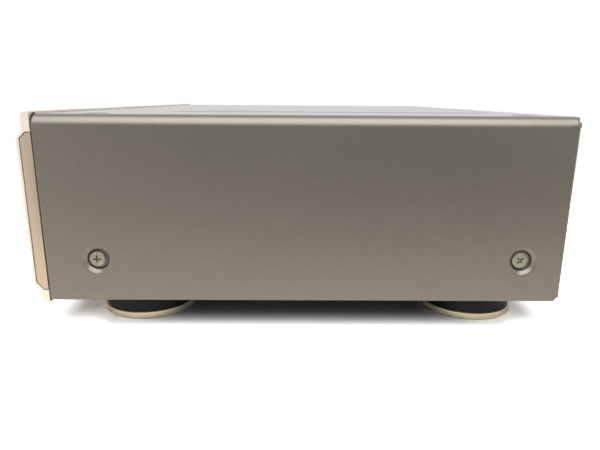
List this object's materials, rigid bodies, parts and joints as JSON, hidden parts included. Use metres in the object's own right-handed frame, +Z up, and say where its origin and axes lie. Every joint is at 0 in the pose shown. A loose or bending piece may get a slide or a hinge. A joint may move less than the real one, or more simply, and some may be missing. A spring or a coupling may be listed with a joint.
{
  "type": "minidisc deck",
  "caption": "Full-width hi-fi disc deck: folded steel cover, champagne front panel, slot-loading mechanism, jog dial, push buttons and ringed round feet.",
  "frame": {"origin": "on the surface the feet stand on, under the middle of the bounding box", "axes": "+Z up, -Y out of the front panel, +X to the right seen from the front"},
  "size_m": [0.43, 0.3316, 0.1248],
  "materials": {
    "painted_grey": "fine satin metallic paint",
    "chassis_steel": "zinc-plated sheet",
    "champagne_panel": "champagne anodised, fine brushed",
    "champagne_knob": "champagne anodised, turned",
    "champagne_button": "champagne painted moulding",
    "taupe_end_cap": "satin taupe paint",
    "zinc_screw": "olive-grey zinc",
    "foot_black": "fine moulded texture",
    "foot_ring_gold": "gold anodised, turned",
    "black_moulding": "moulded satin black",
    "smoked_window": "smoked acrylic, polished",
    "display_glass": "dark display glass",
    "brown_board": "phenolic board",
    "green_board": "solder mask",
    "bright_steel": "bright plated",
    "white_resin": "natural acetal",
    "core_iron": "varnished laminations",
    "coil_tape": "yellow winding tape"
  },
  "bodies": {
    "cabinet": {"top_cover": "painted_grey", "rear_panel": "painted_grey", "bottom_chassis": "chassis_steel", "mechanism_bracket": "chassis_steel", "mechanism_chassis": "chassis_steel", "front_panel": "champagne_panel", "end_cap_left": "taupe_end_cap", "end_cap_right": "taupe_end_cap", "side_screw_right_front": "zinc_screw", "side_screw_right_rear": "zinc_screw", "side_screw_left_front": "zinc_screw", "side_screw_left_rear": "zinc_screw", "foot_front_left": "foot_black", "foot_front_right": "foot_black", "foot_rear_left": "foot_black", "foot_rear_right": "foot_black", "foot_ring_front_left": "foot_ring_gold", "foot_ring_front_right": "foot_ring_gold", "foot_ring_rear_left": "foot_ring_gold", "foot_ring_rear_right": "foot_ring_gold", "front_subframe": "black_moulding", "slot_bezel": "black_moulding", "phones_jack": "black_moulding", "ac_inlet": "black_moulding", "line_jack_block": "black_moulding", "optical_block": "black_moulding", "display_window": "smoked_window", "display_tube": "display_glass", "control_board": "brown_board", "main_board": "green_board", "guide_rod_front": "bright_steel", "guide_rod_rear": "bright_steel", "sled_motor": "bright_steel", "loading_motor": "bright_steel", "spindle_motor": "bright_steel", "transformer_core": "core_iron", "transformer_coil": "coil_tape"},
    "slot_door": {"slot_door": "black_moulding"},
    "power_button": {"power_button": "champagne_button"},
    "eject_button": {"eject_button": "champagne_button"},
    "record_button": {"record_button": "champagne_button"},
    "rewind_button": {"rewind_button": "champagne_button"},
    "stop_button": {"stop_button": "champagne_button"},
    "play_button": {"play_button": "champagne_button"},
    "pause_button": {"pause_button": "champagne_button"},
    "forward_button": {"forward_button": "champagne_button"},
    "jog_shaft": {"jog_shaft": "bright_steel"},
    "jog_dial": {"jog_dial": "champagne_knob"},
    "record_level_knob": {"record_level_knob": "champagne_knob"},
    "phones_level_knob": {"phones_level_knob": "champagne_knob"},
    "timer_switch": {"timer_switch": "black_moulding"},
    "cam_slider": {"cam_slider": "white_resin"},
    "disc_holder": {"disc_holder": "chassis_steel"},
    "loading_gear": {"loading_gear": "white_resin"},
    "pickup_sled": {"pickup_sled": "black_moulding"},
    "sled_gear": {"sled_gear": "white_resin"},
    "turntable": {"turntable": "white_resin"},
    "head_arm": {"head_arm": "chassis_steel"},
    "optical_shutter_in": {"optical_shutter_in": "black_moulding"},
    "optical_shutter_out": {"optical_shutter_out": "black_moulding"}
  },
  "joints": [
    {"name": "slot_door_hinge", "type": "hinge", "parent": "cabinet", "child": "slot_door", "pos_m": [-0.01, -0.14725, 0.1002], "axis": [1, 0, 0], "range_deg": [0, 80], "stiffness_Nm_per_rad": 0.002, "springref_deg": -11.46},
    {"name": "power_push", "type": "slide", "parent": "cabinet", "child": "power_button", "axis": [0, 1, 0], "range_m": [0, 0.0012], "stiffness_N_per_m": 400, "springref_m": -0.0005},
    {"name": "eject_push", "type": "slide", "parent": "cabinet", "child": "eject_button", "axis": [0, 1, 0], "range_m": [0, 0.0012], "stiffness_N_per_m": 400, "springref_m": -0.0005},
    {"name": "record_push", "type": "slide", "parent": "cabinet", "child": "record_button", "axis": [0, 1, 0], "range_m": [0, 0.0012], "stiffness_N_per_m": 400, "springref_m": -0.0005},
    {"name": "rewind_push", "type": "slide", "parent": "cabinet", "child": "rewind_button", "axis": [0, 1, 0], "range_m": [0, 0.0012], "stiffness_N_per_m": 400, "springref_m": -0.0005},
    {"name": "stop_push", "type": "slide", "parent": "cabinet", "child": "stop_button", "axis": [0, 1, 0], "range_m": [0, 0.0012], "stiffness_N_per_m": 400, "springref_m": -0.0005},
    {"name": "play_push", "type": "slide", "parent": "cabinet", "child": "play_button", "axis": [0, 1, 0], "range_m": [0, 0.0012], "stiffness_N_per_m": 400, "springref_m": -0.0005},
    {"name": "pause_push", "type": "slide", "parent": "cabinet", "child": "pause_button", "axis": [0, 1, 0], "range_m": [0, 0.0012], "stiffness_N_per_m": 400, "springref_m": -0.0005},
    {"name": "forward_push", "type": "slide", "parent": "cabinet", "child": "forward_button", "axis": [0, 1, 0], "range_m": [0, 0.0012], "stiffness_N_per_m": 400, "springref_m": -0.0005},
    {"name": "jog_push", "type": "slide", "parent": "cabinet", "child": "jog_shaft", "axis": [0, 1, 0], "range_m": [0, 0.0008], "stiffness_N_per_m": 800, "springref_m": -0.0005},
    {"name": "jog_turn", "type": "hinge", "parent": "jog_shaft", "child": "jog_dial", "pos_m": [0.165, -0.15325, 0.076], "axis": [0, -1, 0], "continuous": true},
    {"name": "record_level_turn", "type": "hinge", "parent": "cabinet", "child": "record_level_knob", "pos_m": [0.103, -0.15245, 0.05], "axis": [0, -1, 0], "range_deg": [-150, 150]},
    {"name": "phones_level_turn", "type": "hinge", "parent": "cabinet", "child": "phones_level_knob", "pos_m": [-0.158, -0.15245, 0.04], "axis": [0, -1, 0], "range_deg": [-150, 150]},
    {"name": "timer_slide", "type": "slide", "parent": "cabinet", "child": "timer_switch", "axis": [1, 0, 0], "range_m": [-0.003, 0.003]},
    {"name": "cam_slide", "type": "slide", "parent": "cabinet", "child": "cam_slider", "axis": [0, 1, 0], "range_m": [0, 0.014]},
    {"name": "holder_drop", "type": "slide", "parent": "cabinet", "child": "disc_holder", "axis": [0, 0, -1], "range_m": [0, 0.006]},
    {"name": "loading_gear_turn", "type": "hinge", "parent": "cabinet", "child": "loading_gear", "pos_m": [-0.0623, -0.09765, 0.0869], "axis": [0, 0, 1], "range_deg": [0, 101]},
    {"name": "sled_slide", "type": "slide", "parent": "cabinet", "child": "pickup_sled", "axis": [1, 0, 0], "range_m": [0, 0.018]},
    {"name": "sled_gear_turn", "type": "hinge", "parent": "cabinet", "child": "sled_gear", "pos_m": [0.028, -0.06805, 0.0821], "axis": [0, 0, 1], "range_deg": [0, 172]},
    {"name": "turntable_spin", "type": "hinge", "parent": "cabinet", "child": "turntable", "pos_m": [-0.01, -0.10015, 0.0872], "axis": [0, 0, 1], "continuous": true},
    {"name": "head_arm_hinge", "type": "hinge", "parent": "pickup_sled", "child": "head_arm", "pos_m": [0.034, -0.10015, 0.087], "axis": [0, -1, 0], "range_deg": [0, 12]},
    {"name": "optical_in_hinge", "type": "hinge", "parent": "cabinet", "child": "optical_shutter_in", "pos_m": [0.123, 0.157, 0.055], "axis": [-1, 0, 0], "range_deg": [0, 80], "stiffness_Nm_per_rad": 0.001, "springref_deg": -11.46},
    {"name": "optical_out_hinge", "type": "hinge", "parent": "cabinet", "child": "optical_shutter_out", "pos_m": [0.141, 0.157, 0.055], "axis": [-1, 0, 0], "range_deg": [0, 80], "stiffness_Nm_per_rad": 0.001, "springref_deg": -11.46}
  ],
  "couplings": [
    {"joint": "holder_drop", "follows": "cam_slide", "ratio": 0.42857},
    {"joint": "loading_gear_turn", "follows": "cam_slide", "rad_per_m": 125},
    {"joint": "head_arm_hinge", "follows": "cam_slide", "rad_per_m": 14.959},
    {"joint": "sled_gear_turn", "follows": "sled_slide", "rad_per_m": 166.67}
  ]
}
